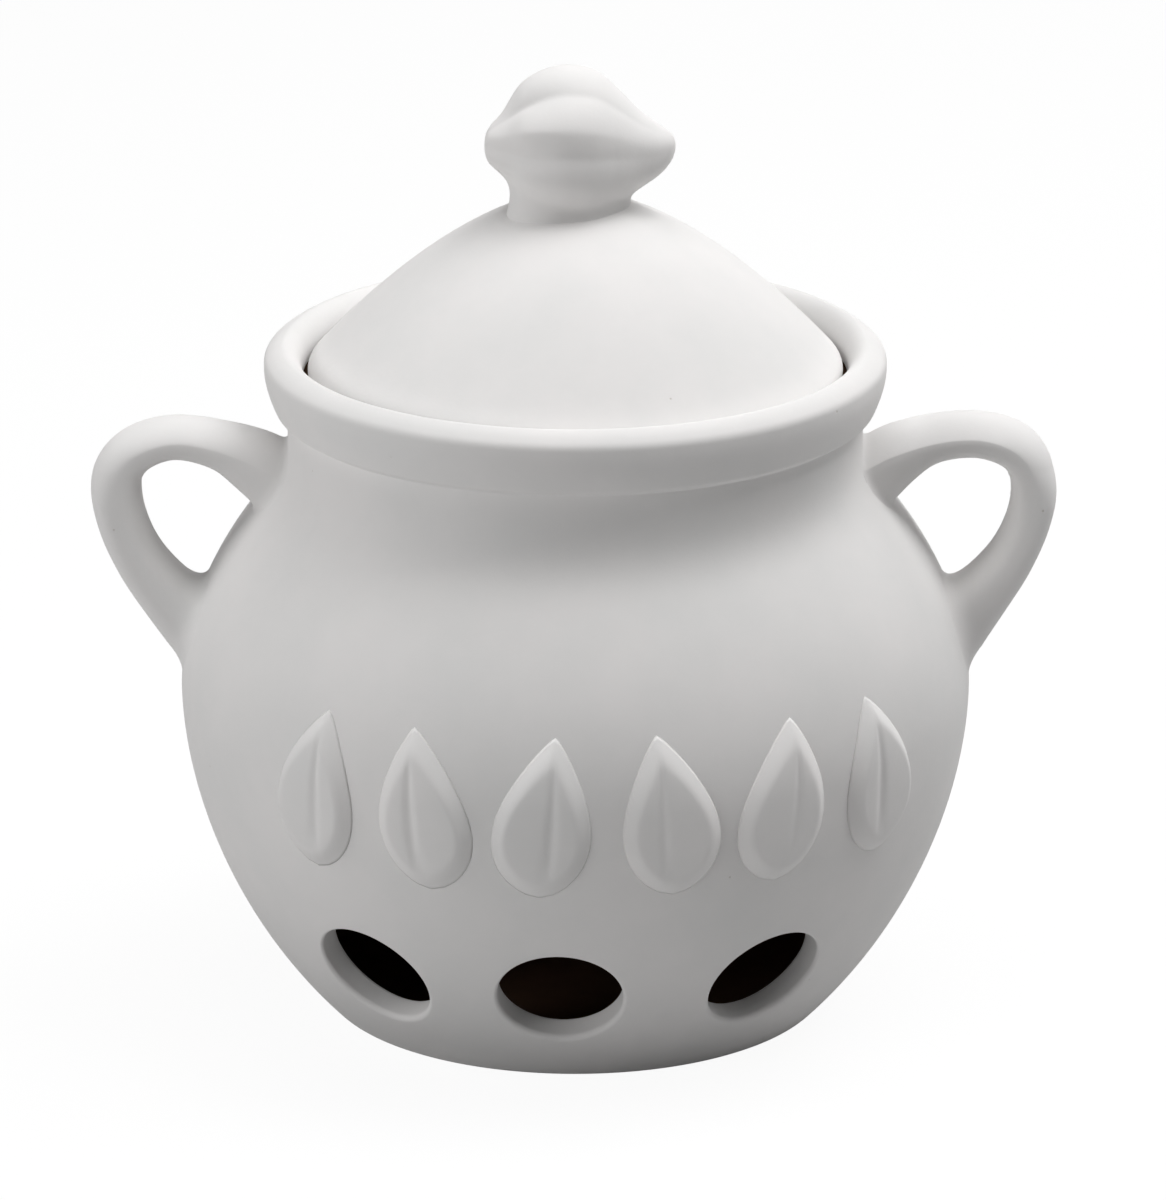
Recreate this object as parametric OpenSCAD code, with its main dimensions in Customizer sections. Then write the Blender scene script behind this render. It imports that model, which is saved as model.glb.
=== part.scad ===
// Garlic keeper: a round ceramic pot with low air vents, two strap handles,
// a rolled rim with a ledge inside it, and a domed lid with a garlic-bulb knob.
// Z is up, X runs from handle to handle, and the front faces -Y.
// The origin is the centre of the foot's underside. Sizes are in millimetres.

/* [Pot] */
// Diameter of the belly at its widest
belly_d = 134.7; // [120:0.1:150]
// Height of the belly's widest line
belly_z = 56.5; // [50:0.5:62]
// Diameter of the flat foot
foot_d = 84.8; // [70:0.1:95]
// Fullness of the belly below its widest line
low_fullness = 1.83; // [1.6:0.01:2.2]
// Fullness of the belly above its widest line
high_fullness = 1.8; // [1.6:0.01:2.2]
// How far the shoulder stands out from the neck
shoulder_out = 5.1; // [2:0.1:9]
// Height where the shoulder turns into the neck
shoulder_z = 89.2; // [84:0.1:92]
// Thickness of the clay at the neck, from the throat out
neck_wall = 8.3; // [6:0.1:10]
// Thickness of the wall
wall = 5; // [4:0.1:6.5]
// Thickness of the floor
floor_t = 6; // [4:0.1:7]

/* [Rim] */
// Diameter of the throat inside the ledge
throat_d = 81; // [76:0.1:84]
// Width of the ledge that the lid lies on, under the lid's edge
seat_w = 4.8; // [3.5:0.1:7]
// Width of the rolled rim, from the gallery round the lid to its widest line
rim_w = 6.55; // [5:0.05:9]
// Height of the rim's top
rim_top_z = 116.3; // [113:0.1:120]
// Height of the rolled part of the rim
roll_h = 5.3; // [4:0.1:6.5]
// Height of the straight band under the roll
band_h = 5.3; // [3.5:0.1:7]
// How far the band draws in towards its lower edge
band_taper = 1.9; // [0:0.1:2.5]
// Depth of the ledge below the rim's top
ledge_depth = 6.9; // [5.5:0.1:8]

/* [Vents] */
// Diameter of an air vent
vent_d = 21; // [16:0.1:23]
// Height of the vents' centres on the wall
vent_z = 18.8; // [17.5:0.1:24]
// Direction of the middle vent, from the front towards the right
vent_turn = -2.6; // [-10:0.1:10]
// Angle from the middle vent to the one on its left
vent_step_left = 34.4; // [30:0.1:45]
// Angle from the middle vent to the one on its right
vent_step_right = 37.1; // [30:0.1:45]

/* [Handles] */
// How far each handle stands out from the belly's widest line
handle_out = 15.05; // [12:0.05:20]
// Height of the handle's outermost point
handle_bend_z = 90.4; // [86:0.1:95]
// How far the top of the loop, on the strap's middle line, lies below the band
crown_drop = 5.8; // [4:0.1:9]
// Thickness of the strap on top of the loop
strap_top_t = 7; // [5:0.1:8.5]
// Thickness of the strap at the outer bend
strap_bend_t = 8.5; // [6.5:0.1:10]
// Width of the strap
strap_w = 12.4; // [9:0.1:16]
// Height of the lower root, on the strap's middle line inside the wall
low_root_z = 61.4; // [56:0.1:66]
// Thickness of the upper root, where the strap meets the neck
root_t = 10.6; // [9:0.1:13]
// Thickness of the lower root, where the strap meets the belly
low_root_t = 13.4; // [9:0.1:16]
// Width of the roots where the strap meets the pot
root_w = 15; // [12:0.1:18]

/* [Lid] */
// Gap between the lid's edge and the rim around it
lid_gap = 0.85; // [0.4:0.05:2]
// Height of the lid from its seat to the top of its dome
lid_h = 33.1; // [26:0.1:38]
// Fullness of the dome
dome_fullness = 1.7; // [1.4:0.01:2.4]
// Radius of the lid's rounded edge
edge_r = 2.6; // [1.5:0.1:3.2]
// Thickness of the lid
lid_wall = 4.5; // [3.5:0.1:6]

/* [Knob] */
// Length of the bulb to the left of the lid's middle
bulb_back = 15.6; // [13:0.1:18]
// Length of the bulb to the right of the lid's middle, to its tip
bulb_front = 16.9; // [14:0.1:20]
// Greatest radius of the bulb
bulb_r = 13.2; // [11:0.1:15]
// Height of the bulb's own axis above the top of the dome
bulb_z = 9; // [7:0.1:12]
// Number of cloves round the bulb
cloves = 6; // [5:1:8]
// Depth of the creases between cloves, as a share of the radius
crease = 0.13; // [0.05:0.01:0.2]
// How much fuller the bulb's underside is towards its tip, as a share of the radius
underside = 0.6; // [0:0.05:0.9]
// Length of the stem that the bulb sits on, along the bulb
stem_l = 21.8; // [18:0.1:24]
// Width of the stem from front to back
stem_w = 16.4; // [12:0.1:22]

/* [Relief] */
// Number of raised cloves across the front
relief_count = 6; // [3:1:7]
// Height of a raised clove
relief_h = 27; // [20:0.5:32]
// Width of a raised clove
relief_w = 16; // [12:0.5:18]
// How far the cloves stand out from the belly
relief_t = 1.8; // [1:0.1:3]
// Height of the middle of the row
relief_z = 54.2; // [50:0.1:60]
// Angle from one raised clove to the next
relief_step = 17.8; // [15:0.1:20]
// Direction of the middle of the row, from the front towards the right
relief_turn = 4.5; // [-10:0.1:10]

/* [Hidden] */
$fn = 180;

clay = "gainsboro";
belly_r = belly_d / 2;
throat_r = throat_d / 2;
neck_r = throat_r + neck_wall;
shoulder_r = neck_r + shoulder_out;
lid_r = throat_r + seat_w;
gallery_r = lid_r + lid_gap;
rim_r = gallery_r + rim_w;
ledge_z = rim_top_z - ledge_depth;
roll_z = rim_top_z - roll_h;
band_z = roll_z - band_h;
neck_z = band_z - 5.3;
roll_r = (rim_r + gallery_r) / 2;

// A half-oval's radius at a height dz from its widest line
function oval_r(dz, a, b, n) = a * pow(max(0, 1 - pow(abs(dz) / b, n)), 1 / n);
// The half-height of an oval that has radius r at a height dz from its widest line
function oval_h(dz, a, r, n) = dz / pow(1 - pow(r / a, n), 1 / n);
// The point at t on a curve from p0 to p3 with handles p1 and p2
function bezier(p0, p1, p2, p3, t) = pow(1 - t, 3) * p0 + 3 * pow(1 - t, 2) * t * p1
    + 3 * (1 - t) * t * t * p2 + pow(t, 3) * p3;
// The point at t between b and c on a smooth curve through a, b, c and d
function between(a, b, c, d, t) = (2 * b + (c - a) * t + (2 * a - 5 * b + 4 * c - d) * t * t
    + (3 * b - a - 3 * c + d) * t * t * t) / 2;
// A smooth curve through all the stations, with the given steps from one to the next
function smooth(s, steps) = [
    for (i = [0 : len(s) - 2], k = [0 : steps - 1])
        between(s[max(i - 1, 0)], s[i], s[i + 1], s[min(i + 2, len(s) - 1)], k / steps),
    s[len(s) - 1]
];

low_b = oval_h(belly_z, belly_r, foot_d / 2, low_fullness);
high_b = oval_h(shoulder_z - belly_z, belly_r, shoulder_r, high_fullness);

// The belly's radius at a height z, on the face that lies `grow` outside the pot's own
function belly_at(z, grow = 0) = z < belly_z
    ? oval_r(z - belly_z, belly_r + grow, low_b + grow, low_fullness)
    : oval_r(z - belly_z, belly_r + grow, high_b + grow, high_fullness);
// How far the wall leans out over its own foot at a height z, in degrees
function lean_at(z) = atan((belly_at(z + 0.1) - belly_at(z - 0.1)) / 0.2);

// The face `grow` outside the pot's own, from z0 up to the shoulder and on into a throat of radius r_top
function side(grow, z0, r_top, z_top, low = 14, high = 9, turn = 7) =
    let (
        p0 = [belly_at(shoulder_z, grow), shoulder_z],
        slope = (belly_at(shoulder_z + 0.1, grow) - belly_at(shoulder_z - 0.1, grow)) / 0.2,
        reach = 0.38 * (z_top - shoulder_z),
        p3 = [r_top, z_top]
    ) [
        for (i = [0 : low - 1]) let (z = z0 + (belly_z - z0) * i / low) [belly_at(z, grow), z],
        for (i = [0 : high - 1]) let (z = belly_z + (shoulder_z - belly_z) * i / high) [belly_at(z, grow), z],
        for (i = [0 : turn]) bezier(p0, p0 + reach * [slope, 1], p3 - reach * [0, 1], p3, i / turn)
    ];

// The outside of the pot from the foot to the lower edge of the band, as far as `grow` outside
function outside(grow = 0) = side(grow, 0, neck_r + grow, neck_z);

// The rolled rim from its widest line, over the top and down into the gallery
roll = concat(
    [for (a = [0 : 15 : 90]) [roll_r + (rim_r - roll_r) * cos(a), roll_z + roll_h * sin(a)]],
    [for (a = [105 : 15 : 180]) [roll_r + (roll_r - gallery_r) * cos(a), roll_z + roll_h * sin(a)]]
);

// Everything inside the pot's outer face, for cutting what is stuck on it
module pot_solid(grow = 0) {
    rotate_extrude() polygon(concat([[0, 0]], outside(grow), [[0, neck_z]]));
}

// One vent, `from` inside the wall's outer face to `to` outside it, at an angle from the front
module vent_bore(turn, from = 12, to = 6) {
    rotate([0, 0, turn]) translate([0, -belly_at(vent_z), vent_z]) rotate([90 + lean_at(vent_z), 0, 0])
        translate([0, 0, -from]) cylinder(d = vent_d, h = from + to);
}

module pot_body() {
    color(clay) difference() {
        rotate_extrude() polygon(concat(
            [[0, 0]], outside(),
            [[neck_r, band_z - 0.8], [rim_r - band_taper, band_z]], roll,
            [[gallery_r, ledge_z], [throat_r, ledge_z]],
            let (inside = side(-wall, floor_t, throat_r, neck_z)) [for (i = [len(inside) - 1 : -1 : 0]) inside[i]],
            [[0, floor_t]]
        ));
        // three vents at the front and three at the back
        for (back = [0, 180], step = [-vent_step_left, 0, vent_step_right]) vent_bore(back + vent_turn + step);
    }
}

// The strap's middle line, from one root inside the wall to the other: x, z, thickness and width
bend_x = belly_r + handle_out - strap_bend_t / 2;
top_run = bend_x - neck_r;
low_run = bend_x - belly_at(low_root_z) + 7.2;
crown_z = band_z - crown_drop;
drop = handle_bend_z - low_root_z;
strap_stations = [
    [neck_r - 0.5, crown_z - 8, root_t, root_w],
    [neck_r + 0.19 * top_run, crown_z - 3.7, root_t - 1.2, root_w - 1.2],
    [bend_x - 0.606 * top_run, crown_z - 1.2, strap_top_t + 0.6, strap_w + 0.2],
    [bend_x - 0.358 * top_run, crown_z, strap_top_t, strap_w],
    [bend_x - 0.157 * top_run, crown_z - 1.5, strap_top_t + 0.4, strap_w],
    [bend_x - 0.038 * top_run, (crown_z + handle_bend_z) / 2, strap_bend_t - 0.5, strap_w],
    [bend_x, handle_bend_z, strap_bend_t, strap_w],
    [bend_x - 0.049 * low_run, handle_bend_z - 0.197 * drop, strap_bend_t - 0.2, strap_w],
    [bend_x - 0.19 * low_run, handle_bend_z - 0.4 * drop, strap_bend_t - 0.1, strap_w + 0.2],
    [bend_x - 0.424 * low_run, handle_bend_z - 0.607 * drop, strap_bend_t + 1.1, strap_w + 0.8],
    [bend_x - 0.739 * low_run, handle_bend_z - 0.828 * drop, low_root_t - 1.2, root_w - 0.5],
    [bend_x - low_run, low_root_z, low_root_t, root_w]
];

// A point at angle a on a soft-cornered section, measured from the strap's middle line
function section(a, t, w) = [
    t / 2 * sign(cos(a)) * pow(abs(cos(a)), 0.8),
    w / 2 * sign(sin(a)) * pow(abs(sin(a)), 0.8)
];

// A strap of clay swept along the stations
module strap(stations, steps = 3, sides = 16) {
    s = smooth(stations, steps);
    n = len(s);
    points = [
        for (i = [0 : n - 1])
            let (
                d = s[min(i + 1, n - 1)] - s[max(i - 1, 0)],
                across = [-d[1], d[0]] / norm([d[0], d[1]])
            )
            for (k = [0 : sides - 1])
                let (p = section(360 * k / sides, s[i][2], s[i][3]))
                [s[i][0] + across[0] * p[0], p[1], s[i][1] + across[1] * p[0]]
    ];
    polyhedron(points, tube_faces(n, sides));
}

// Triangles of a closed tube of n rings with a flat cap at each end
function tube_faces(n, sides) = concat(
    [for (i = [0 : n - 2], k = [0 : sides - 1])
        let (a = i * sides + k, b = i * sides + (k + 1) % sides) [a, b, a + sides]],
    [for (i = [0 : n - 2], k = [0 : sides - 1])
        let (a = i * sides + k, b = i * sides + (k + 1) % sides) [b, b + sides, a + sides]],
    [[for (k = [sides - 1 : -1 : 0]) k]],
    [[for (k = [0 : sides - 1]) (n - 1) * sides + k]]
);

// A handle on the +X side, cut to lie face to face on the pot
module handle() {
    color(clay) difference() {
        strap(strap_stations);
        pot_solid();
    }
}

module handle_left() {
    mirror([1, 0, 0]) handle();
}

module handle_right() {
    handle();
}

// The outline of one raised clove: round at the foot, pointed at the top, its tip leaning to one side
function clove_outline(lean, steps = 12) = let (
        half = function (t) relief_w / 2 * pow(sin(180 * pow(t, 0.72)), 0.8),
        middle = function (t) lean * (t * t - 0.35)
    ) concat(
        [for (i = [0 : steps]) let (t = i / steps) [middle(t) + half(t), relief_h * (t - 0.5)]],
        [for (i = [steps - 1 : -1 : 1]) let (t = i / steps) [middle(t) - half(t), relief_h * (t - 0.5)]]
    );

// Raised cloves in a row round the front of the belly, in leaning pairs
module relief_motifs() {
    lean = relief_w / 6;
    color(clay) difference() {
        intersection() {
            pot_solid(relief_t);
            for (i = [0 : relief_count - 1])
                rotate([0, 0, relief_turn + relief_step * (i - (relief_count - 1) / 2)])
                    translate([0, -belly_r / 2, relief_z]) rotate([90, 0, 0])
                        linear_extrude(belly_r) polygon(clove_outline(i % 2 == 0 ? lean : -lean));
        }
        pot_solid();
    }
}

// The lid's outer face from its seat over the rounded edge and up the dome to the middle
edge_turn = 41;
dome_r = lid_r - edge_r + edge_r * cos(edge_turn);
dome_rise = lid_h - edge_r - edge_r * sin(edge_turn);
lid_outside = concat(
    [for (a = [-90 : 13.1 : edge_turn]) [lid_r - edge_r + edge_r * cos(a), edge_r + edge_r * sin(a)]],
    [for (i = [12 : -1 : 0]) let (r = dome_r * i / 12) [r, lid_h - dome_rise * pow(r / dome_r, dome_fullness)]]
);
// The hollow under the lid, from the middle down to the inner edge of the seat
hollow_r = throat_r - 1;
hollow_h = lid_h - lid_wall;
lid_inside = [for (i = [0 : 10]) let (r = hollow_r * i / 10) [r, hollow_h * (1 - pow(r / hollow_r, dome_fullness))]];

module lid() {
    color(clay) translate([0, 0, ledge_z]) rotate_extrude() polygon(concat(lid_outside, lid_inside));
}

// The bulb's own axis lies along X: distance from the lid's middle and radius there
bulb_stations = [
    [-bulb_back, 0.1 * bulb_r], [-bulb_back + 0.6, 0.26 * bulb_r], [-0.8 * bulb_back, 0.6 * bulb_r],
    [-0.5 * bulb_back, 0.88 * bulb_r], [-0.12 * bulb_back, bulb_r], [0.25 * bulb_front, 0.86 * bulb_r],
    [0.5 * bulb_front, 0.6 * bulb_r], [0.72 * bulb_front, 0.37 * bulb_r], [0.9 * bulb_front, 0.24 * bulb_r],
    [bulb_front - 0.4, 0.16 * bulb_r], [bulb_front, 0.09 * bulb_r]
];
// Direction of one clove's back, up from the front
clove_turn = 31.5;

// The share of the radius that is left at an angle a: full on a clove's back, less in a crease
function lobe(a) = 1 - crease * (1 - abs(cos(cloves / 2 * (a - clove_turn))));
// How much fuller the bulb is at an angle a and a distance x along its axis
function fuller(a, x) = 1 + underside * max(0, -sin(a)) * max(0, x / bulb_front);

module bulb(steps = 2, per_clove = 6) {
    s = smooth(bulb_stations, steps);
    n = len(s);
    sides = cloves * per_clove;
    points = [
        for (i = [0 : n - 1], k = [0 : sides - 1])
            let (a = clove_turn + 360 * k / sides, r = s[i][1] * lobe(a) * fuller(a, s[i][0]))
            [s[i][0], -r * cos(a), r * sin(a)]
    ];
    polyhedron(points, tube_faces(n, sides));
}

module knob() {
    color(clay) translate([0, 0, ledge_z]) difference() {
        union() {
            translate([0, 0, lid_h + bulb_z]) bulb();
            translate([0, 0, lid_h - 6]) scale([1, stem_w / stem_l, 1]) cylinder(d = stem_l, h = 0.6 * bulb_z + 6);
        }
        rotate_extrude() polygon(concat([[0, 0]], lid_outside));
    }
}

pot_body();
handle_left();
handle_right();
relief_motifs();
lid();
knob();
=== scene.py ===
"""The looks of a garlic keeper in unglazed white ceramic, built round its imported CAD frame.

Every length below is in millimetres unless its name ends in _M, and SCALE turns it to metres.
X runs from handle to handle, the front faces -Y, and the foot stands on z = 0.
"""

import math

import bmesh
import bpy
from mathutils import Matrix, Vector, noise


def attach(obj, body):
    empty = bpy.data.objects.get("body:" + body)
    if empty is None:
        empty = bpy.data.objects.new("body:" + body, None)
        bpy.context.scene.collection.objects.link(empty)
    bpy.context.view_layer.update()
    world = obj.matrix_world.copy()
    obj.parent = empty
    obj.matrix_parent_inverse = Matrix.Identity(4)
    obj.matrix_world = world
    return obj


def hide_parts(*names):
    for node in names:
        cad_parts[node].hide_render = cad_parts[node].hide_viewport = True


SCALE = 0.001

# The pot's wall, from the foot to the rim
BELLY_R = 67.35
BELLY_Z = 56.5
FOOT_R = 42.4
LOW_FULLNESS = 1.83
HIGH_FULLNESS = 1.8
SHOULDER_R = 53.3
SHOULDER_Z = 89.2
NECK_R = 48.8
WALL = 4.6
FLOOR = 6.0
RIM_R = 52.7
RIM_TOP_Z = 116.3
ROLL_H = 5.3
BAND_H = 5.3
BAND_TAPER = 1.9
THROAT_R = 40.5
LEDGE_Z = RIM_TOP_Z - 6.9
ROLL_Z = RIM_TOP_Z - ROLL_H
BAND_Z = ROLL_Z - BAND_H
NECK_Z = BAND_Z - 5.3
# How far above the ledge the inside's painted shade reaches
PAINTED_SHADE_OVER_LEDGE = 1.25

# Air vents through the wall, as angles from the front towards the right
VENT_R = 10.5
VENT_Z = 18.8
VENT_TURNS = [math.radians(back + turn) for back in (0, 180) for turn in (-37.0, -2.6, 34.5)]
VENT_COLLAR = 2.4
# How far a vent's edges are rounded: inside, outside, and how much less of that at the top
VENT_INNER_LIP = 0.6
VENT_OUTER_LIP = 0.75
VENT_LIP_LEAN = 0.4
# Depths along a vent's bore: below both faces of the wall, between them and above both
BELOW_WALL, MID_WALL, ABOVE_WALL = -14.0, -4.0, 4.0

# Strap handles
HANDLE_OUT = 15.05
HANDLE_BEND_Z = 90.4
CROWN_Z = BAND_Z - 5.8
STRAP_L = 75.0
STRAP_TOP_T = 7.0
STRAP_BEND_T = 8.5
STRAP_W = 12.4
LOW_ROOT_Z = 61.4
LOW_ROOT_IN = 7.2
ROOT_T = 10.6
LOW_ROOT_T = 13.4
ROOT_W = 15.0
HAND_WAVER = 0.25

# Lid and knob
LID_R = 45.3
GALLERY_R = LID_R + 0.85
LID_H = 33.1
LID_WALL = 4.5
LID_EDGE_TURN = math.radians(41)
DOME_FULLNESS = 1.7
EDGE_R = 2.6
BULB_BACK = 15.6
BULB_FRONT = 16.9
BULB_R = 13.2
BULB_Z = LEDGE_Z + LID_H + 9.0
CLOVES = 6
CLOVE_TURN = math.radians(31.5)
STEM_L = 21.8
STEM_W = 17.4
STEM_H = 11.0
STEM_TOP_Z = BULB_Z - 3.0
STEM_COS, STEM_SIN = math.cos(math.radians(22)), math.sin(math.radians(22))

# Raised cloves across the belly
RELIEF_COUNT = 6
RELIEF_H = 27.0
RELIEF_W = 16.0
RELIEF_T = 1.8
RELIEF_Z = 54.2
RELIEF_STEP = math.radians(17.8)
RELIEF_TURN = math.radians(4.5)
CREASE_DEPTH = 0.4
# How far a clove's skin runs, in half widths: out to its edge, in all, and back under the belly
RELIEF_EDGE, RELIEF_RUN, RELIEF_UNDER = 1.06, 1.16, 0.1
# How deep the pieces that sit on the belly are let into it
SUNK = 0.05

# The camera: its height above the pot's middle, its distance and its lens
CAMERA_ELEVATION = math.radians(18.43)
CAMERA_DISTANCE = 1537.0
CAMERA_TARGET = (1.3, 0.0, 70.44)
CAMERA_REACH_M = 100.0
LENS = 270.0
SENSOR = 36.0

# Halvings that find where a line meets a face, and the step over which a slope is taken
HALVINGS = 24
SLOPE_STEP = 0.2


# ---------------------------------------------------------------- shapes of the wall


def oval_radius(dz, a, b, n):
    """A half-oval's radius at a height dz from its widest line."""
    return a * max(0.0, 1 - (abs(dz) / b) ** n) ** (1 / n)


def oval_height(dz, a, r, n):
    """The half-height of an oval that has radius r at a height dz from its widest line."""
    return dz / (1 - (r / a) ** n) ** (1 / n)


LOW_B = oval_height(BELLY_Z, BELLY_R, FOOT_R, LOW_FULLNESS)
HIGH_B = oval_height(SHOULDER_Z - BELLY_Z, BELLY_R, SHOULDER_R, HIGH_FULLNESS)


def belly_at(z, grow=0.0):
    """The belly's radius at a height z, on the face that lies grow outside the pot's own."""
    if z < BELLY_Z:
        return oval_radius(z - BELLY_Z, BELLY_R + grow, LOW_B + grow, LOW_FULLNESS)
    return oval_radius(z - BELLY_Z, BELLY_R + grow, HIGH_B + grow, HIGH_FULLNESS)


def belly_slope(z, grow=0.0):
    """How fast the belly widens with height at z."""
    half = SLOPE_STEP / 2
    return (belly_at(z + half, grow) - belly_at(z - half, grow)) / SLOPE_STEP


def bezier(points, t):
    """The point at t on the curve that the control points pull."""
    points = [Vector(p) for p in points]
    while len(points) > 1:
        points = [a.lerp(b, t) for a, b in zip(points, points[1:])]
    return points[0]


def side(grow, z0, top_r, low=56, high=36, turn=16):
    """The wall's face from z0 over the belly and in to a neck or throat of radius top_r."""
    reach = 0.38 * (NECK_Z - SHOULDER_Z)
    start = Vector((belly_at(SHOULDER_Z, grow), SHOULDER_Z))
    end = Vector((top_r, NECK_Z))
    leaving = reach * Vector((belly_slope(SHOULDER_Z, grow), 1))
    bend = [start, start + leaving, end - Vector((0, reach)), end]
    heights = [z0 + (BELLY_Z - z0) * i / low for i in range(low)]
    heights += [BELLY_Z + (SHOULDER_Z - BELLY_Z) * i / high for i in range(high)]
    shoulder = [tuple(bezier(bend, i / turn)) for i in range(turn + 1)]
    return [(belly_at(z, grow), z) for z in heights] + shoulder


OUTER_FACE = side(0, 0, NECK_R)
INNER_FACE = side(-WALL, FLOOR, THROAT_R)


def radius_on(face, z):
    """The radius of a face of the wall at a height z."""
    if z <= face[0][1]:
        return face[0][0]
    for (r0, z0), (r1, z1) in zip(face, face[1:]):
        if z <= z1:
            return r0 + (r1 - r0) * (z - z0) / (z1 - z0)
    return face[-1][0]


def softened(corners, steps=6):
    """A line through the corners, each (r, z), or (r, z, rounding) where it is to be rounded."""
    line = []
    for i, corner in enumerate(corners):
        point = Vector(corner[:2])
        if len(corner) == 2:
            line.append(point)
            continue
        before, after = Vector(corners[i - 1][:2]), Vector(corners[i + 1][:2])
        ends = [point + (near - point).normalized() * corner[2] for near in (before, after)]
        line += [bezier([ends[0], point, ends[1]], k / steps) for k in range(steps + 1)]
    return line


# ---------------------------------------------------------------- meshes


def revolved(line, segments):
    """A bmesh of a line (r, z) spun once round the pot's axis."""
    bm = bmesh.new()
    verts = [bm.verts.new((r * SCALE, 0, z * SCALE)) for r, z in line]
    edges = [bm.edges.new(pair) for pair in zip(verts, verts[1:])]
    bmesh.ops.spin(
        bm, geom=verts + edges, cent=(0, 0, 0), axis=(0, 0, 1), dvec=(0, 0, 0),
        angle=2 * math.pi, steps=segments, use_merge=True, use_duplicate=False,
    )
    bmesh.ops.remove_doubles(bm, verts=bm.verts, dist=1e-6)
    bmesh.ops.recalc_face_normals(bm, faces=bm.faces)
    return bm


def moulded(shape, along, around):
    """A bmesh of a grid bent to shape(u, v), u and v from 0 to 1, closed where its edges meet."""
    bm = bmesh.new()
    bmesh.ops.create_grid(bm, x_segments=along, y_segments=around, size=0.5)
    for vert in bm.verts:
        vert.co = Vector(shape(vert.co.x + 0.5, vert.co.y + 0.5)) * SCALE
    bmesh.ops.remove_doubles(bm, verts=bm.verts, dist=2e-6)
    bmesh.ops.recalc_face_normals(bm, faces=bm.faces)
    return bm


def gathered(parts):
    """One bmesh that holds all the parts, each of which it uses up."""
    whole = bmesh.new()
    for part in parts:
        mesh = bpy.data.meshes.new("part")
        part.to_mesh(mesh)
        part.free()
        whole.from_mesh(mesh)
        bpy.data.meshes.remove(mesh)
    return whole


def mesh_object(name, bm):
    """An object at the origin that holds a smooth-shaded mesh."""
    mesh = bpy.data.meshes.new(name)
    bm.to_mesh(mesh)
    bm.free()
    mesh.shade_smooth()
    obj = bpy.data.objects.new(name, mesh)
    bpy.context.scene.collection.objects.link(obj)
    return obj


def with_modifier(obj, kind, **settings):
    """Applies one modifier to obj for good."""
    modifier = obj.modifiers.new(kind, kind)
    for key, value in settings.items():
        setattr(modifier, key, value)
    graph = bpy.context.evaluated_depsgraph_get()
    old = obj.data
    obj.data = bpy.data.meshes.new_from_object(obj.evaluated_get(graph))
    obj.modifiers.clear()
    bpy.data.meshes.remove(old)
    obj.data.shade_smooth()


def dress(obj, node, body, *materials):
    """obj stands for a CAD node, moves with a body and wears the materials."""
    obj.data.materials.clear()
    for material in materials:
        obj.data.materials.append(material)
    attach(obj, body)
    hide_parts(node)


# ---------------------------------------------------------------- pot


def vent_frame(turn):
    """A vent's middle on the wall's outer face, and its outward, sideways and upward directions."""
    r = belly_at(VENT_Z)
    lean = math.atan(belly_slope(VENT_Z))
    flat = math.cos(lean)
    out = Vector((math.sin(turn) * flat, -math.cos(turn) * flat, -math.sin(lean)))
    across = Vector((math.cos(turn), math.sin(turn), 0))
    middle = Vector((r * math.sin(turn), -r * math.cos(turn), VENT_Z))
    return middle, out, across, out.cross(across)


def vent_cutters(turns, radius, length=20.0, inward=5.0):
    """One bmesh of plain cylinders that cut every vent and its collar."""
    bm = bmesh.new()
    for turn in turns:
        middle, out, across, up = vent_frame(turn)
        place = Matrix((across, up, out)).transposed().to_4x4()
        place.translation = (middle - inward * out) * SCALE
        bmesh.ops.create_cone(
            bm, cap_ends=True, segments=96, radius1=radius * SCALE, radius2=radius * SCALE,
            depth=length * SCALE, matrix=place,
        )
    return bm


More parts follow.
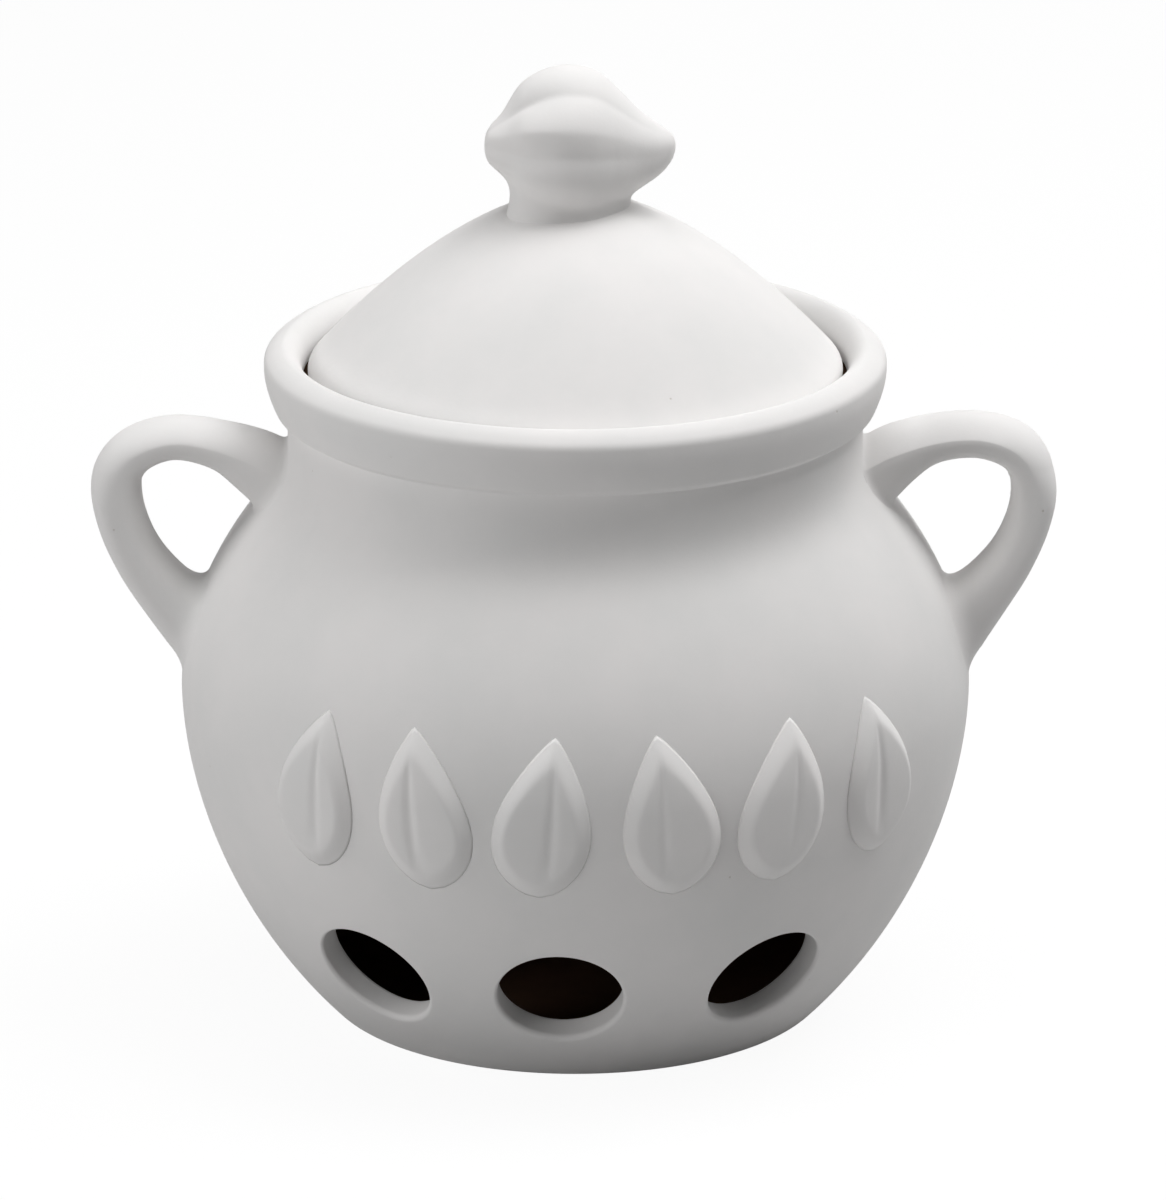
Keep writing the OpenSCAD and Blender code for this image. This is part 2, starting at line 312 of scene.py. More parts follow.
def line_vent(bm, turn, collar, steps=7):
    """Rounds one cut vent in from its wide collar to its own bore, softer at the bottom than at
    the top: the collar's wall comes out, each rim is turned inwards, and the two are bridged."""
    middle, out, across, up = vent_frame(turn)

    def polar(co):
        d = co / SCALE - middle
        x, y = d.dot(across), d.dot(up)
        return math.atan2(y, x), math.hypot(y, x), d.dot(out)

    def point(angle, rho, depth):
        return middle + rho * (math.cos(angle) * across + math.sin(angle) * up) + depth * out

    def depth_on(face, angle, rho):
        low, high = BELOW_WALL, ABOVE_WALL
        for _ in range(HALVINGS):
            mid = (low + high) / 2
            p = point(angle, rho, mid)
            if math.hypot(p.x, p.y) > radius_on(face, p.z):
                high = mid
            else:
                low = mid
        return (low + high) / 2

    ring = set()
    for vert in bm.verts:
        angle, rho, depth = polar(vert.co)
        if abs(rho - collar) < 0.03 and BELOW_WALL < depth < ABOVE_WALL:
            ring.add(vert)
    walls = {f for v in ring for f in v.link_faces if all(w in ring for w in f.verts)}
    bmesh.ops.delete(bm, geom=list(walls), context="FACES_ONLY")
    loose = {e for v in ring for e in v.link_edges if not e.link_faces}
    bmesh.ops.delete(bm, geom=list(loose), context="EDGES")
    ring = [v for v in ring if v.is_valid and v.link_faces]
    rims = {e for v in ring for e in v.link_edges if len(e.link_faces) == 1}

    def middle_depth(edge):
        return sum(polar(v.co)[2] for v in edge.verts) / 2

    ends = []
    for face, inward, edges in (
        (OUTER_FACE, -1, [e for e in rims if middle_depth(e) > MID_WALL]),
        (INNER_FACE, 1, [e for e in rims if middle_depth(e) <= MID_WALL]),
    ):
        for k in range(steps + 1):
            turned = math.pi / 2 * k / steps
            new = bmesh.ops.extrude_edge_only(bm, edges=edges)["geom"]
            verts = {g for g in new if isinstance(g, bmesh.types.BMVert)}
            new_edges = [g for g in new if isinstance(g, bmesh.types.BMEdge)]
            edges = [e for e in new_edges if all(v in verts for v in e.verts)]
            for vert in verts:
                angle = polar(vert.co)[0]
                outer_lip = VENT_OUTER_LIP - VENT_LIP_LEAN * math.sin(angle)
                lip = VENT_INNER_LIP if inward > 0 else outer_lip
                rho = VENT_R + lip * (1 - math.sin(turned))
                depth = depth_on(face, angle, rho) + inward * lip * (1 - math.cos(turned))
                vert.co = point(angle, rho, depth) * SCALE
        ends += edges
    bmesh.ops.bridge_loops(bm, edges=ends)


def in_painted_shade(face):
    """Whether a face of the pot gets painted shade: inner wall, floor, ledge and a strip over it.
    """
    middle = face.calc_center_median() / SCALE
    flat = math.hypot(middle.x, middle.y)
    on_ledge = NECK_Z <= middle.z < LEDGE_Z + PAINTED_SHADE_OVER_LEDGE and flat < GALLERY_R + 0.1
    faces_axis = face.normal.dot(Vector((middle.x, middle.y, 0))) < 0 or middle.z < FLOOR + 2
    inner = faces_axis and flat < radius_on(INNER_FACE, middle.z) + 0.3
    return on_ledge or (inner and FLOOR - 0.5 < middle.z < NECK_Z)


def make_pot(clay, inside):
    """The pot's body: one wall of clay with its foot, vents, rolled rim and the ledge inside it."""
    roll_r = (RIM_R + GALLERY_R) / 2

    def band(up):
        return RIM_R - BAND_TAPER * (1 - up) ** 1.6, BAND_Z + (BAND_H + 1.2) * up

    def lip(degrees):
        a = math.radians(degrees)
        return roll_r + (roll_r - GALLERY_R) * math.cos(a), ROLL_Z + ROLL_H * math.sin(a)

    foot = [(0, 0), (14, 0), (28, 0), (38, 0), (FOOT_R, 0, 1.2)]
    step = [(NECK_R, BAND_Z - 1.0, 0.35), (RIM_R - BAND_TAPER, BAND_Z, 0.5)]
    rim = [(RIM_R, ROLL_Z + 3.2, 0.9), (RIM_R - 1.8, RIM_TOP_Z - 0.5, 1.2)]
    ledge = [(GALLERY_R, LEDGE_Z + 1.3), (GALLERY_R, LEDGE_Z, 0.7), (THROAT_R, LEDGE_Z, 1.0)]
    bottom = [(INNER_FACE[0][0], FLOOR, 3.5), (28, FLOOR), (14, FLOOR), (0, FLOOR)]
    line = softened(
        foot + [p for p in OUTER_FACE if p[1] > 1.5]
        + step + [band(k / 8) for k in range(1, 9)]
        + rim + [lip(a) for a in range(90, 181, 6)]
        + ledge + [p for p in reversed(INNER_FACE) if p[1] > FLOOR + 4]
        + bottom
    )
    obj = mesh_object("pot_body_clay", revolved(line, 224))

    collar = VENT_R + VENT_COLLAR
    cutter = mesh_object("vent_cutters", vent_cutters(VENT_TURNS, collar))
    with_modifier(obj, "BOOLEAN", operation="DIFFERENCE", solver="EXACT", object=cutter)
    bpy.data.objects.remove(cutter)
    dress(obj, "pot_body", "pot", clay, inside)

    bm = bmesh.new()
    bm.from_mesh(obj.data)
    for turn in VENT_TURNS:
        line_vent(bm, turn, collar)
    bmesh.ops.recalc_face_normals(bm, faces=bm.faces)
    for face in bm.faces:
        # material 1 is the painted shade on the inside, the ledge and a strip over it
        face.material_index = int(in_painted_shade(face))
        face.smooth = True
    bm.to_mesh(obj.data)
    bm.free()


# ---------------------------------------------------------------- handles


BEND_X = BELLY_R + HANDLE_OUT - STRAP_BEND_T / 2
TOP_RUN = BEND_X - NECK_R
LOW_RUN = BEND_X - belly_at(LOW_ROOT_Z) + LOW_ROOT_IN
DROP = HANDLE_BEND_Z - LOW_ROOT_Z
# The strap's middle line from root to root: x, z, thickness and width
STRAP = [
    (NECK_R - 0.5, CROWN_Z - 8.5, ROOT_T + 1.2, ROOT_W),
    (NECK_R + 0.19 * TOP_RUN, CROWN_Z - 4, ROOT_T - 0.6, ROOT_W - 1.2),
    (BEND_X - 0.606 * TOP_RUN, CROWN_Z - 1.2, STRAP_TOP_T + 0.6, STRAP_W + 0.2),
    (BEND_X - 0.358 * TOP_RUN, CROWN_Z, STRAP_TOP_T, STRAP_W),
    (BEND_X - 0.157 * TOP_RUN, CROWN_Z - 1.5, STRAP_TOP_T + 0.4, STRAP_W),
    (BEND_X - 0.038 * TOP_RUN, (CROWN_Z + HANDLE_BEND_Z) / 2, STRAP_BEND_T - 0.5, STRAP_W),
    (BEND_X, HANDLE_BEND_Z, STRAP_BEND_T, STRAP_W),
    (BEND_X - 0.049 * LOW_RUN, HANDLE_BEND_Z - 0.197 * DROP, STRAP_BEND_T - 0.2, STRAP_W),
    (BEND_X - 0.19 * LOW_RUN, HANDLE_BEND_Z - 0.4 * DROP, STRAP_BEND_T - 0.1, STRAP_W + 0.2),
    (BEND_X - 0.424 * LOW_RUN, HANDLE_BEND_Z - 0.607 * DROP, STRAP_BEND_T + 1.1, STRAP_W + 0.8),
    (BEND_X - 0.739 * LOW_RUN, HANDLE_BEND_Z - 0.828 * DROP, LOW_ROOT_T - 1.2, ROOT_W - 0.5),
    (BEND_X - LOW_RUN, LOW_ROOT_Z, LOW_ROOT_T, ROOT_W),
]


def on_smooth_line(stations, t):
    """The values at t, from 0 to 1, on a smooth curve through all the stations."""
    last = len(stations) - 1
    place = min(max(t, 0.0), 1.0) * last
    i = min(int(place), last - 1)
    f = place - i
    a, b, c, d = (Vector(stations[min(max(k, 0), last)]) for k in range(i - 1, i + 3))
    square, cube = 2 * a - 5 * b + 4 * c - d, 3 * b - a - 3 * c + d
    return (2 * b + (c - a) * f + square * f**2 + cube * f**3) / 2


def signed_power(value, power):
    """The power of a value's size, with the value's sign."""
    return math.copysign(abs(value) ** power, value)


def strap_with(changes):
    """The strap's middle line with some stations raised and thickened, each given as its number
    and the added (height, thickness)."""
    line = [list(station) for station in STRAP]
    for i, (height, thickness) in changes.items():
        line[i][1] += height
        line[i][2] += thickness
    return line


def strap_point(strap, t, angle, ridge):
    """A point of the strap's skin, t along it and at an angle round its soft-cornered section. Over
    the crown its back is domed between two edges, as crisp as ridge says, from 0 to 1. They rise
    towards the neck."""
    x, z, thick, wide = on_smooth_line(strap, t)
    ahead, behind = on_smooth_line(strap, t + 0.01), on_smooth_line(strap, t - 0.01)
    along = Vector((ahead[0] - behind[0], ahead[1] - behind[1])).normalized()
    ridge *= 1 - min(1.0, max(0.0, (t - 0.32) / 0.25))
    edge = (0.07 + 0.26 * ridge * math.exp(-((t / 0.11) ** 2))) * thick * ridge
    outside = math.cos(angle) > 0
    half = thick / 2 - edge if outside else thick / 2 + edge
    up = edge + half * signed_power(math.cos(angle), 0.78 + (1.22 if outside else -0.2) * ridge)
    across = wide / 2 * signed_power(math.sin(angle), 0.78 + (0.22 if outside else -0.2) * ridge)
    return Vector((x - along.y * up, across, z + along.x * up))


def onto_pot(p, grow=0.0):
    """The point of the pot's outer face straight in from p."""
    r = radius_on(OUTER_FACE, p.z) + grow
    flat = math.hypot(p.x, p.y)
    return Vector((p.x * r / flat, p.y * r / flat, p.z))


def meets_pot(strap, angle, ridge, inner, outer):
    """Where along the strap its skin at this angle comes out of the pot."""
    for _ in range(HALVINGS):
        mid = (inner + outer) / 2
        p = strap_point(strap, mid, angle, ridge)
        if math.hypot(p.x, p.y) < radius_on(OUTER_FACE, p.z):
            inner = mid
        else:
            outer = mid
    return (inner + outer) / 2


def handle_shape(side_sign, strap, fillets, ridge, lift, tuck, slim):
    """The skin of one handle: a swept strap whose two roots are smoothed out on to the pot. A
    hand-pulled strap is never the same twice, so each one's crown is lifted, its lower run tucked
    in and its crown and lower run slimmed by amounts of its own."""
    # The shares of the skin's length that close each end in the clay and blend it on to the pot
    cap, blend = 0.012, 0.095
    ends = {}

    def root(angle, upper):
        key = (round(angle, 5), upper)
        if key not in ends:
            fillet = fillets[0 if upper else 1]
            reach = (0.0, 0.3) if upper else (1.0, 0.7)
            met = meets_pot(strap, angle, ridge, *reach)
            away = fillet / STRAP_L * (1 if upper else -1)
            edge = strap_point(strap, met, angle, ridge)
            free = strap_point(strap, met + away, angle, ridge)
            centre = on_smooth_line(strap, met)
            spread = edge - Vector((centre[0], 0, centre[1]))
            foot = onto_pot(edge + spread.normalized() * fillet, -SUNK)
            core = onto_pot(Vector((centre[0], 0, centre[1])), -2.0)
            ends[key] = (met + away, free, edge, foot, core)
        return ends[key]

    def pulled(p, t, f):
        """A point of the free strap, moved as this hand left it."""
        soft = math.sin(math.pi * f)
        x, z, thick = on_smooth_line(strap, t)[:3]
        low = 1 / (1 + math.exp(-24 * (f - 0.42)))
        thin = soft**0.5 * (slim[0] * (1 - low) + slim[1] * low) / thick
        p += thin * (Vector((x, p.y, z)) - p)
        waver = Vector((noise.noise(p / 11 + Vector((side_sign, 0, 0))), 0, noise.noise(p / 9)))
        p += HAND_WAVER * soft * waver
        p += lift * soft * max(0.0, 1 - 2 * f) ** 0.5 * Vector((0.5, 0, 1))
        p.x -= tuck * soft * min(1.0, max(0.0, 3 * f - 1.2))
        return p

    def shape(u, v):
        angle = 2 * math.pi * (v % 1.0)
        top, bottom = root(angle, True), root(angle, False)
        near, end = min(u, 1 - u), top if u < 0.5 else bottom
        if near < cap:
            p = end[4].lerp(end[3], near / cap)
        elif near < blend:
            p = bezier(end[3:0:-1], (near - cap) / (blend - cap))
        else:
            f = (u - blend) / (1 - 2 * blend)
            t = top[0] + (bottom[0] - top[0]) * f
            p = pulled(strap_point(strap, t, angle, ridge), t, f)
        return side_sign * p.x, p.y, p.z

    return shape


def make_handle(name, node, shape, clay):
    """A pulled strap, luted to the neck and the belly."""
    dress(mesh_object(name, moulded(shape, 140, 56)), node, "pot", clay)


# ---------------------------------------------------------------- relief


def clove_edge(t, lean):
    """Half the width and the middle of a raised clove, t of the way up it."""
    half = RELIEF_W / 2 * math.sin(math.pi * min(t, 1.0) ** 0.72) ** 0.8
    return half, lean * (t * t - 0.35)


def relief_shape(turn, lean):
    """A raised clove that swells out of the belly, with one shallow crease along it."""

    def shape(u, v):
        swell = min(RELIEF_EDGE, v * RELIEF_RUN)
        t = 2 * u if u <= 0.5 else 2 - 2 * u
        half, middle = clove_edge(t, lean)
        edge = Vector((middle + (half if u <= 0.5 else -half), RELIEF_H * (t - 0.5)))
        heart = Vector((clove_edge(0.42, lean)[1], RELIEF_H * -0.08))
        x, dz = heart.lerp(edge, swell)
        rise = math.sin(math.pi / 2 * min(1.0, (RELIEF_EDGE - swell) / 0.34)) ** 1.25
        here = min(max(dz / RELIEF_H + 0.5, 0.0), 1.0)
        half, middle = clove_edge(here, lean)
        offset = (x - middle) / max(half, 0.5) - 0.22 * math.copysign(1, lean)
        along = math.sin(math.pi * here) ** 0.6
        crease = CREASE_DEPTH * math.exp(-((offset / 0.12) ** 2)) * along
        z = RELIEF_Z + dz
        r = belly_at(z) - SUNK + rise * (RELIEF_T + SUNK - crease)
        back = max(0.0, (v * RELIEF_RUN - RELIEF_EDGE) / RELIEF_UNDER)
        if back > 0:
            x, z = Vector((x, z)).lerp(Vector((heart[0], RELIEF_Z + heart[1])), back)
            r = belly_at(z) - SUNK - 1.5 * math.sin(math.pi / 2 * back)
        y = -math.sqrt(r * r - x * x)
        cos, sin = math.cos(turn), math.sin(turn)
        return x * cos - y * sin, x * sin + y * cos, z

    return shape


def make_relief(clay):
    """The row of raised cloves across the front, in leaning pairs."""
    cloves = []
    for i in range(RELIEF_COUNT):
        turn = RELIEF_TURN + RELIEF_STEP * (i - (RELIEF_COUNT - 1) / 2)
        lean = RELIEF_W / 6 * (1 if i % 2 == 0 else -1)
        cloves.append(moulded(relief_shape(turn, lean), 96, 29))
    row = gathered(cloves)
    away = Vector((1, 1, 0))
    if sum(f.normal.dot(f.calc_center_median() * away) for f in row.faces) < 0:
        bmesh.ops.reverse_faces(row, faces=row.faces)
    dress(mesh_object("relief_cloves", row), "relief_motifs", "pot", clay)


# ---------------------------------------------------------------- lid and knob


def make_lid(clay):
    """The hollow lid: a dome with a thick rounded edge that rests on the ledge."""
    dome_r = LID_R - EDGE_R + EDGE_R * math.cos(LID_EDGE_TURN)
    dome_z = EDGE_R + EDGE_R * math.sin(LID_EDGE_TURN)
    hollow_r = THROAT_R - 1
    hollow_h = LID_H - LID_WALL

    def edge(k, steps=16):
        a = -math.pi / 2 + (math.pi / 2 + LID_EDGE_TURN) * k / steps
        return LID_R - EDGE_R + EDGE_R * math.cos(a), LEDGE_Z + EDGE_R + EDGE_R * math.sin(a)

    def dome(r):
        return r, LEDGE_Z + LID_H - (LID_H - dome_z) * (r / dome_r) ** DOME_FULLNESS

    def hollow(r):
        return r, LEDGE_Z + hollow_h * (1 - (r / hollow_r) ** DOME_FULLNESS)

    line = softened(
        [hollow(hollow_r * i / 40) for i in range(40)] + [(hollow_r, LEDGE_Z, 0.6)]
        + [edge(k) for k in range(16)] + [dome(dome_r * i / 48) for i in range(48, -1, -1)]
    )
    dress(mesh_object("lid_clay", revolved(line, 192)), "lid", "lid", clay)


# The bulb lies along X: distance from the lid's middle, radius there and height of its axis
BULB = [
    (-0.87 * BULB_BACK, 0.0, -0.3),
    (-0.86 * BULB_BACK, 0.18 * BULB_R, -0.3),
    (-0.8 * BULB_BACK, 0.36 * BULB_R, -0.2),
    (-0.56 * BULB_BACK, 0.79 * BULB_R, 0.0),
    (-0.18 * BULB_BACK, 0.99 * BULB_R, 0.0),
    (0.18 * BULB_FRONT, 0.95 * BULB_R, -0.2),
    (0.42 * BULB_FRONT, 0.745 * BULB_R, -0.7),
    (0.63 * BULB_FRONT, 0.52 * BULB_R, -1.3),
    (0.83 * BULB_FRONT, 0.34 * BULB_R, -1.4),
    (0.95 * BULB_FRONT, 0.19 * BULB_R, -0.9),
    (0.99 * BULB_FRONT, 0.08 * BULB_R, -0.7),
    (BULB_FRONT, 0.0, -0.7),
]


def clove_swell(turn, along):
    """The share of the bulb's radius at an angle up from the front, where cloves swell between
    their creases. The creases are deepest at the root end and fade towards the tip. The front
    clove's back is a blunt keel."""
    depth = 0.025 + 0.25 / (1 + math.exp(7 * (along + 0.42)))
    near_keel = 0.045 * max(0.0, 1 - along**2)
    sink = 0.1 * math.exp(-(((turn - 1.0) / 0.4) ** 2)) * max(0.0, 1 - along**2)
    lobe = (turn - CLOVE_TURN) / (2 * math.pi / CLOVES) + 0.5 + sink
    k, place = math.floor(lobe) % CLOVES, lobe % 1.0
    heart = 0.5 if k else 0.36
    above = place > heart
    off = (place - heart) / (1 - heart) if above else (heart - place) / heart
    crease = (k + above) % CLOVES
    if crease == 1:
        depth = depth + near_keel
    elif crease == 0:
        depth = 0.6 * depth + near_keel
    return 1 - depth * off ** (2.0 if k else 1.3 if above else 1.1)


def bulb_shape(u, v):
    """The skin of the garlic bulb, with its rounded root end a little forward of its axis."""
    x, r, rise = on_smooth_line(BULB, u)
    turn = 2 * math.pi * (v % 1.0)
    r = max(r, 0.0) * clove_swell(turn, x / (BULB_BACK if x < 0 else BULB_FRONT))
    y, z = -r * math.cos(turn), r * math.sin(turn)
    root = math.exp(-((math.hypot(y + 2.0, z + 0.3) / 4.8) ** 4)) if x < 0 else 0.0
    return x - 0.11 * BULB_BACK * root, y, BULB_Z + rise + z


def stem_shape(u, v):
    """The oval stem under the bulb, narrower towards the bulb's tip. It widens a little where it
    meets the bulb and the lid, and its end is hollowed so that it stays within the lid's wall."""
    angle = 2 * math.pi * (v % 1.0)
    flare = 1.5 * max(0.0, (u - 0.35) / 0.65) ** 2 + 1.2 * max(0.0, 1 - u / 0.5) ** 2
    wide = min(1.0, u / 0.02) if u < 0.5 else min(1.0, (1 - u) / 0.02)
    z = STEM_TOP_Z - STEM_H * u + (1.2 * (1 - wide) if u > 0.5 else 0.0)
    ahead = max(0.0, math.cos(angle))
    long = STEM_L / 2 + flare * (0.5 - 0.5 * math.cos(angle)) - 0.7 * ahead
    x = long * wide * math.cos(angle)
    y = (STEM_W / 2 + flare) * (1 - 0.12 * ahead) * wide * math.sin(angle) + 0.9 * ahead * wide
    return x * STEM_COS - y * STEM_SIN - 0.3, x * STEM_SIN + y * STEM_COS - 0.4, z


def make_knob(clay, joint_passes=90):
    """A garlic bulb on its side, luted to the lid by a short stem, with the joint sponged smooth:
    each pass works a little further down."""
    bulb = gathered([moulded(bulb_shape, 120, 144), moulded(stem_shape, 60, 96)])
    obj = mesh_object("garlic_knob", bulb)
    with_modifier(obj, "REMESH", mode="VOXEL", voxel_size=0.3 * SCALE, use_smooth_shade=True)
    with_modifier(obj, "SMOOTH", factor=0.5, iterations=12)
    bm = bmesh.new()
    bm.from_mesh(obj.data)
    for step in range(joint_passes):
        joint = [v for v in bm.verts if v.co.z < (BULB_Z - 3.5 - step / 30) * SCALE]
        bmesh.ops.smooth_vert(
            bm, verts=joint, factor=0.5, use_axis_x=True, use_axis_y=True, use_axis_z=True,
        )
    bm.to_mesh(obj.data)
    bm.free()
    dress(obj, "knob", "lid", clay)


# ---------------------------------------------------------------- materials


def linear(hex_colour):
    """An sRGB hex colour as linear RGBA."""
    parts = [int(hex_colour[i : i + 2], 16) / 255 for i in (1, 3, 5)]
    return [c / 12.92 if c <= 0.04045 else ((c + 0.055) / 1.055) ** 2.4 for c in parts] + [1.0]


def add(tree, kind, settings=None, sockets=None):
    """Adds a node with its settings; each socket gets a value or is linked from an output."""
    node = tree.nodes.new(kind)
    for key, value in (settings or {}).items():
        setattr(node, key, value)
    for key, value in (sockets or {}).items():
        if isinstance(value, bpy.types.NodeSocket):
            tree.links.new(value, node.inputs[key])
        else:
            node.inputs[key].default_value = value
    return node


def new_material(name):
    """A material with an empty node tree, and that tree."""
    material = bpy.data.materials.new(name)
    material.use_nodes = True
    material.node_tree.nodes.clear()
    return material, material.node_tree


def per_mm(size):
    """The scale of a pattern whose features are this many millimetres across."""
    return 1 / (size * SCALE)


def bisque():
    """Unglazed white earthenware, cast and sponged: chalky and matt, with a fine grain, faint
    clouds of tone, soft sponge marks and a few pinholes. The clay's own grain, about 0.1 mm, is too
    fine to show, so it is drawn at 0.7 mm."""
    material, tree = new_material("white_bisque")
    place = add(tree, "ShaderNodeTexCoord").outputs["Object"]
    clouds = add(tree, "ShaderNodeTexNoise", None,
                 {"Vector": place, "Scale": per_mm(26), "Detail": 4.0, "Roughness": 0.6})
    grain = add(tree, "ShaderNodeTexNoise", None,
                {"Vector": place, "Scale": per_mm(0.7), "Detail": 3.0, "Roughness": 0.65})
    sponge = add(tree, "ShaderNodeTexNoise", None,
                 {"Vector": place, "Scale": per_mm(6), "Detail": 3.0, "Roughness": 0.5})
    pits = add(tree, "ShaderNodeTexVoronoi", {"feature": "F1"},
               {"Vector": place, "Scale": per_mm(9), "Randomness": 1.0})
    pit_mask = add(tree, "ShaderNodeMapRange", {"interpolation_type": "SMOOTHSTEP"},
                   {"Value": pits.outputs["Distance"], "From Min": 0.01, "From Max": 0.03,
                    "To Min": 1.0, "To Max": 0.0})
    tone = add(tree, "ShaderNodeMapRange", None,
               {"Value": clouds.outputs["Fac"], "From Min": 0.35, "From Max": 0.65,
                "To Min": 0.0, "To Max": 1.0})
    colour = add(tree, "ShaderNodeMix", {"data_type": "RGBA"},
                 {"Factor": tone.outputs["Result"], "A": linear("#E6E5E4"), "B": linear("#EBE9E8")})
    # the colour is darker and a little warmer in the pinholes
    pit_darkened = add(tree, "ShaderNodeMix", {"data_type": "RGBA", "blend_type": "MULTIPLY"},
                {"Factor": pit_mask.outputs["Result"], "A": colour.outputs["Result"],
                 "B": linear("#E9E6E2")})
    marks = add(tree, "ShaderNodeBump", None,
                {"Strength": 0.35, "Distance": 0.12 * SCALE, "Height": sponge.outputs["Fac"]})
    fine = add(tree, "ShaderNodeBump", None,
               {"Strength": 0.4, "Distance": 0.04 * SCALE, "Height": grain.outputs["Fac"],
                "Normal": marks.outputs["Normal"]})
    holes = add(tree, "ShaderNodeBump", {"invert": True},
                {"Strength": 0.6, "Distance": 0.15 * SCALE, "Height": pit_mask.outputs["Result"],
                 "Normal": fine.outputs["Normal"]})
    dull = add(tree, "ShaderNodeMapRange", None,
               {"Value": sponge.outputs["Fac"], "To Min": 0.8, "To Max": 0.92})
    shader = add(tree, "ShaderNodeBsdfPrincipled", None,
                 {"Base Color": pit_darkened.outputs["Result"], "Roughness": dull.outputs["Result"],
                  "Specular IOR Level": 0.3, "Normal": holes.outputs["Normal"]})
    add(tree, "ShaderNodeOutputMaterial", None, {"Surface": shader.outputs["BSDF"]})
    return material


def painted_shade_inside():
    """Painted shade for the pot's inside: dark umber that stands in for the deep shade within the
    white clay. Dead matt, with faint clouds of tone and a fine grain drawn coarse enough to show."""
    material, tree = new_material("painted_shade_inside")
    place = add(tree, "ShaderNodeTexCoord").outputs["Object"]
    clouds = add(tree, "ShaderNodeTexNoise", None,
                 {"Vector": place, "Scale": per_mm(9), "Detail": 3.0})
    grain = add(tree, "ShaderNodeTexNoise", None,
                {"Vector": place, "Scale": per_mm(0.9), "Detail": 3.0})
    colour = add(tree, "ShaderNodeMix", {"data_type": "RGBA"},
                 # the painted shade's dark umber, put where the inside of the pot lies in shade
                 {"Factor": clouds.outputs["Fac"], "A": linear("#523F32"), "B": linear("#654D3E")})
    fine = add(tree, "ShaderNodeBump", None,
               {"Strength": 0.4, "Distance": 0.05 * SCALE, "Height": grain.outputs["Fac"]})
    shader = add(tree, "ShaderNodeBsdfPrincipled", None,
                 {"Base Color": colour.outputs["Result"], "Roughness": 0.95,
                  "Specular IOR Level": 0.0, "Normal": fine.outputs["Normal"]})
    add(tree, "ShaderNodeOutputMaterial", None, {"Surface": shader.outputs["BSDF"]})
    return material


def seen(tree):
    """1 for the rays that show a backdrop: the camera's, and those off metal and through glass."""
    path = add(tree, "ShaderNodeLightPath")
    either = add(tree, "ShaderNodeMath", {"operation": "MAXIMUM"},
                 {0: path.outputs["Is Camera Ray"], 1: path.outputs["Is Glossy Ray"]})
    shown = add(tree, "ShaderNodeMath", {"operation": "MAXIMUM"},
                {0: either.outputs["Value"], 1: path.outputs["Is Transmission Ray"]})
    return shown.outputs["Value"]


def studio_paper():
    """The floor: white paper, lit up to white where it is seen, on which the pot keeps a faint
    soft shadow. The pot itself is lit as by paper of the plain colour."""
    material, tree = new_material("studio_paper")
    shown = seen(tree)
    paper = add(tree, "ShaderNodeMix", {"data_type": "RGBA"},
                {"Factor": shown, "A": linear(FLOOR_COLOUR), "B": linear(FLOOR_SEEN)})
    matt = add(tree, "ShaderNodeBsdfDiffuse", None, {"Color": paper.outputs["Result"]})
    level = add(tree, "ShaderNodeMath", {"operation": "MULTIPLY"}, {0: shown, 1: FLOOR_GLOW})
    glow = add(tree, "ShaderNodeEmission", None,
               {"Color": (1, 1, 1, 1), "Strength": level.outputs["Value"]})
    both = add(tree, "ShaderNodeAddShader", None,
               {0: matt.outputs["BSDF"], 1: glow.outputs["Emission"]})
    add(tree, "ShaderNodeOutputMaterial", None, {"Surface": both.outputs["Shader"]})
    return material


# ---------------------------------------------------------------- studio

# Soft round lamps: direction round the pot from the front towards the right and height, both in
# degrees, distance from the pot, size across and power in watts
LAMPS = {
    "overhead": (0, 88, 1000, 800, 4.9),
    "right_above": (90, 63, 1050, 650, 5.3),
    "behind_right": (135, 35, 1100, 600, 2.1),
    "front_left": (-45, 17, 1250, 600, 3.7),
    "left": (-90, 20, 1100, 600, 2.4),
    "right": (90, 20, 1100, 600, 1.2),
}
LAMP_AIM = (0, 0, 70)
WORLD_STRENGTH = 0.0
FLOOR_COLOUR = "#BCBCBC"
FLOOR_SEEN = "#4A4A4A"
FLOOR_GLOW = 0.94
FLOOR_SIZE_M = 20.0
FLOOR_BELOW = 0.1


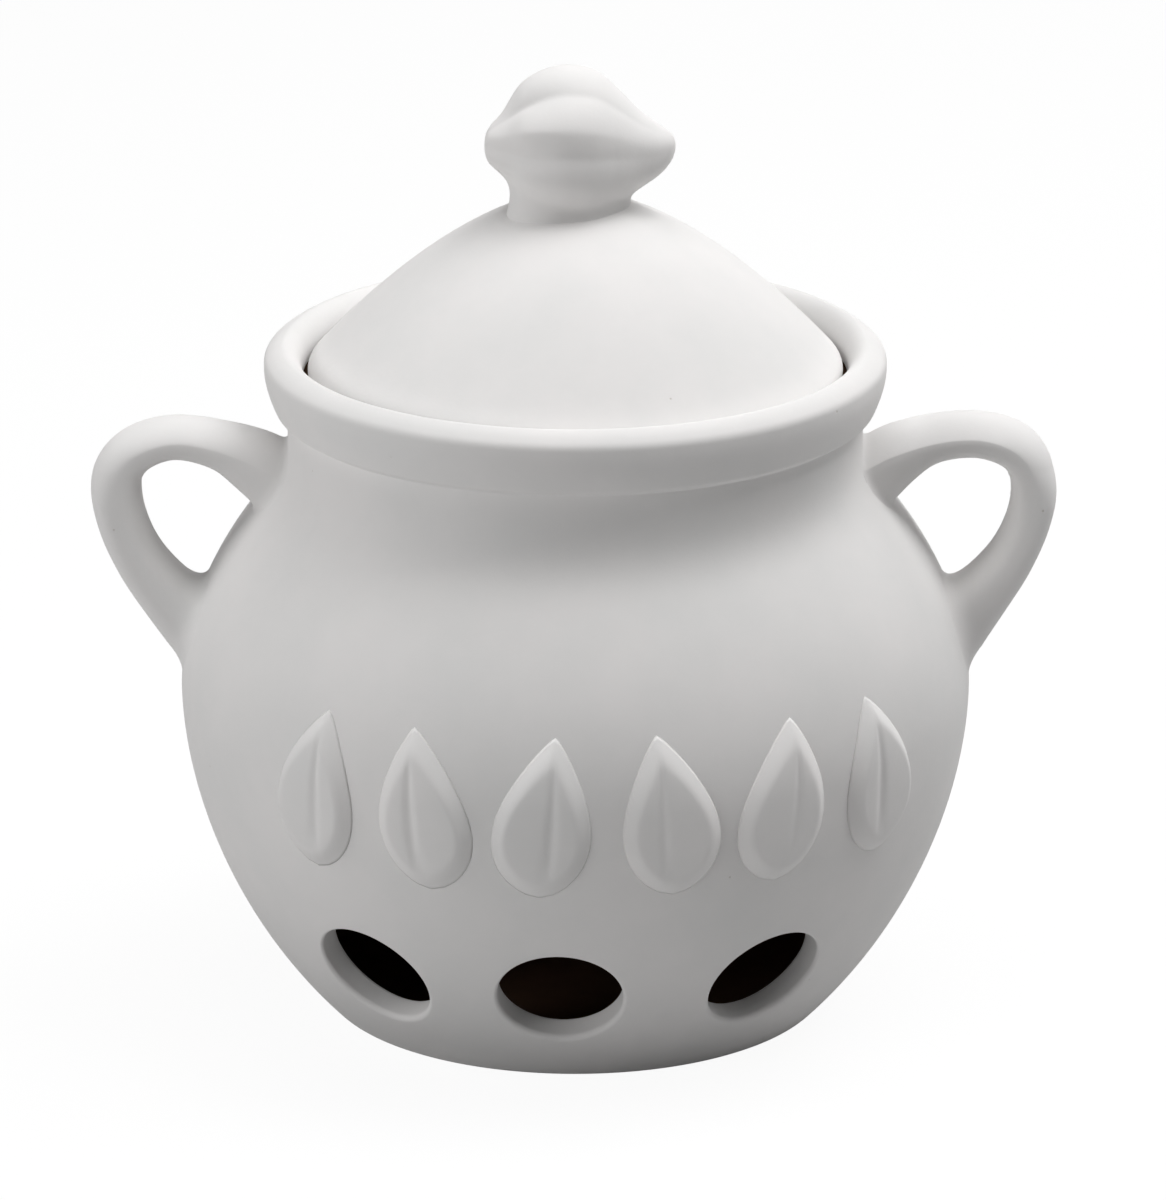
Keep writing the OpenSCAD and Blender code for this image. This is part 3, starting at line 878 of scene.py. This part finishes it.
def make_studio():
    """A pale floor just under the foot, soft lamps all round and a sky that is seen as white."""
    bm = bmesh.new()
    below = Matrix.Translation((0, 0, -FLOOR_BELOW * SCALE))
    bmesh.ops.create_grid(bm, x_segments=1, y_segments=1, size=FLOOR_SIZE_M, matrix=below)
    floor = mesh_object("studio_floor", bm)
    floor.data.materials.append(studio_paper())

    for name, (turn, height, distance, size, power) in LAMPS.items():
        turn, height = math.radians(turn), math.radians(height)
        flat = math.cos(height)
        away = Vector((math.sin(turn) * flat, -math.cos(turn) * flat, math.sin(height)))
        lamp = bpy.data.lights.new(name, "AREA")
        lamp.shape = "DISK"
        lamp.size = size * SCALE
        lamp.energy = power
        obj = bpy.data.objects.new(name, lamp)
        obj.location = (Vector(LAMP_AIM) + away * distance) * SCALE
        obj.rotation_euler = away.to_track_quat("Z", "Y").to_euler()
        bpy.context.scene.collection.objects.link(obj)

    world = bpy.data.worlds.new("studio_sky")
    world.use_nodes = True
    tree = world.node_tree
    tree.nodes.clear()
    strength = add(tree, "ShaderNodeMapRange", None,
                   {"Value": seen(tree), "To Min": WORLD_STRENGTH, "To Max": 1.0})
    sky = add(tree, "ShaderNodeBackground", None,
              {"Color": (1, 1, 1, 1), "Strength": strength.outputs["Result"]})
    add(tree, "ShaderNodeOutputWorld", None, {"Surface": sky.outputs["Background"]})
    bpy.context.scene.world = world


def make_camera():
    """The camera at the photograph's viewing angle."""
    camera = bpy.data.cameras.new("studio_camera")
    camera.lens = LENS
    camera.sensor_width = SENSOR
    camera.clip_end = CAMERA_REACH_M
    obj = bpy.data.objects.new("studio_camera", camera)
    away = Vector((0, -math.cos(CAMERA_ELEVATION), math.sin(CAMERA_ELEVATION)))
    obj.location = (Vector(CAMERA_TARGET) + away * CAMERA_DISTANCE) * SCALE
    obj.rotation_euler = (math.pi / 2 - CAMERA_ELEVATION, 0, 0)
    bpy.context.scene.collection.objects.link(obj)
    bpy.context.scene.camera = obj


# ---------------------------------------------------------------- the whole scene

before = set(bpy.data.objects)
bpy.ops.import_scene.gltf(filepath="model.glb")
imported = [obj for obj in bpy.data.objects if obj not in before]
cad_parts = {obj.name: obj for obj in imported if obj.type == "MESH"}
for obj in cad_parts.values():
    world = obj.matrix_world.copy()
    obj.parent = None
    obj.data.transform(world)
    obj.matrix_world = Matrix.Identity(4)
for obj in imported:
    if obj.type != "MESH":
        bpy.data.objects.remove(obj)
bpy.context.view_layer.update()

bpy.context.scene.view_settings.view_transform = "Standard"
# inside is the painted shade: a dark colour put on the pot's inside and ledge for the shade there
clay, inside = bisque(), painted_shade_inside()
make_pot(clay, inside)
left_strap = strap_with(
    {0: (-0.4, 0.8), 1: (-0.4, 0.8), 2: (-0.2, 0.4), 10: (0.45, 0.2), 11: (0.7, 0.3)}
)
right_strap = strap_with({0: (0.5, 0.7), 1: (0.75, 0.1), 2: (0.6, 0.0), 3: (0.1, 0.0)})
left = handle_shape(-1, left_strap, (1.6, 3.2), 0.55, -0.2, 0.25, (0.4, -0.2))
right = handle_shape(1, right_strap, (1.2, 3.4), 0.85, 0.85, 0.3, (-0.2, 0.75))
make_handle("handle_left_strap", "handle_left", left, clay)
make_handle("handle_right_strap", "handle_right", right, clay)
make_relief(clay)
make_lid(clay)
make_knob(clay)
make_studio()
make_camera()
